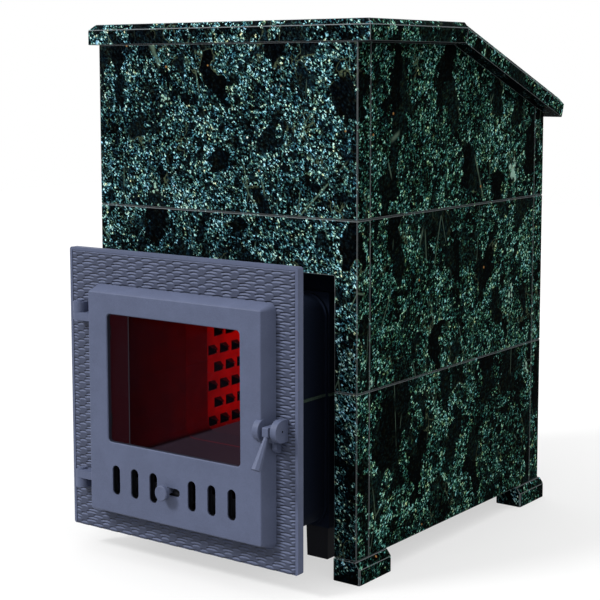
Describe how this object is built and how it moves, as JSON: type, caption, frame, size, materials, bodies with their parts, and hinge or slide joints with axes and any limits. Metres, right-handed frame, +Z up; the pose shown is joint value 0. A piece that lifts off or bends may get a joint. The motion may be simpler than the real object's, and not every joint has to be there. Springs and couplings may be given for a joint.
{
  "type": "sauna stove",
  "caption": "Wood-burning sauna stove: cast-iron firebox with fuel duct and glazed, studded door frame, in a polished stone cladding with a sloping cap and steam hatch.",
  "frame": {"origin": "on the floor, under the middle of the whole stove's bounding box", "axes": "+Z up, -Y towards the door, +X to the right when facing the door"},
  "size_m": [0.674, 0.9518, 1.02],
  "materials": {
    "serpentine": "polished dark green serpentine",
    "grey_iron": "matt blue-grey heat-proof paint",
    "dark_iron": "matt dark heat-proof paint",
    "dark_steel": "matt black paint",
    "bright_steel": "plain",
    "fire_glass": "clear glass ceramic",
    "rope_seal": "glass-fibre rope",
    "seam_cord": "ceramic sealing cord"
  },
  "bodies": {
    "stove": {"ash_drawer": "dark_steel", "cap_flat": "serpentine", "cap_slope": "serpentine", "corner_angles": "dark_steel", "crown_plate": "dark_iron", "duct_lower": "dark_iron", "duct_upper": "dark_iron", "firebox_lower": "dark_iron", "firebox_upper": "dark_iron", "flue_collar": "dark_iron", "foot_front_left": "serpentine", "foot_front_right": "serpentine", "foot_rear_left": "serpentine", "foot_rear_right": "serpentine", "frame_plate": "grey_iron", "grate": "dark_iron", "hatch_frame": "dark_iron", "hatch_pins": "bright_steel", "hearth_plate": "dark_iron", "heater_chamber": "dark_iron", "hinge_pins": "bright_steel", "lower_pillar_left": "serpentine", "lower_pillar_right": "serpentine", "lower_slab_left": "serpentine", "lower_slab_rear": "serpentine", "lower_slab_right": "serpentine", "middle_slab_front": "serpentine", "middle_slab_left": "serpentine", "middle_slab_rear": "serpentine", "middle_slab_right": "serpentine", "seam_cord": "seam_cord", "smoke_baffle": "dark_iron", "steam_shaft": "dark_steel", "stove_legs": "dark_iron", "upper_slab_front": "serpentine", "upper_slab_left": "serpentine", "upper_slab_rear": "serpentine", "upper_slab_right": "serpentine"},
    "door": {"door_casting": "grey_iron", "door_glass": "fire_glass", "glass_tape": "rope_seal", "glass_clips": "dark_steel", "door_seal": "rope_seal", "slider_guides": "dark_steel", "latch_pin": "bright_steel"},
    "latch": {"latch_lever": "grey_iron"},
    "slider": {"air_slider": "dark_steel", "slider_knob": "grey_iron"},
    "hatch": {"hatch_lid": "dark_iron", "hatch_knob": "grey_iron"}
  },
  "joints": [
    {"name": "door_hinge", "type": "hinge", "parent": "stove", "child": "door", "pos_m": [-0.235, -0.41653, 0.3085], "axis": [0, 0, -1], "range_deg": [0, 120]},
    {"name": "latch_turn", "type": "hinge", "parent": "door", "child": "latch", "pos_m": [0.23075, -0.42003, 0.304], "axis": [-1, 0, 0], "range_deg": [0, 80]},
    {"name": "air_slide", "type": "slide", "parent": "door", "child": "slider", "axis": [1, 0, 0], "range_m": [0, 0.02325]},
    {"name": "steam_hatch", "type": "hinge", "parent": "stove", "child": "hatch", "pos_m": [0, 0.13548, 1.00762], "axis": [1, 0, 0], "range_deg": [0, 105]}
  ]
}
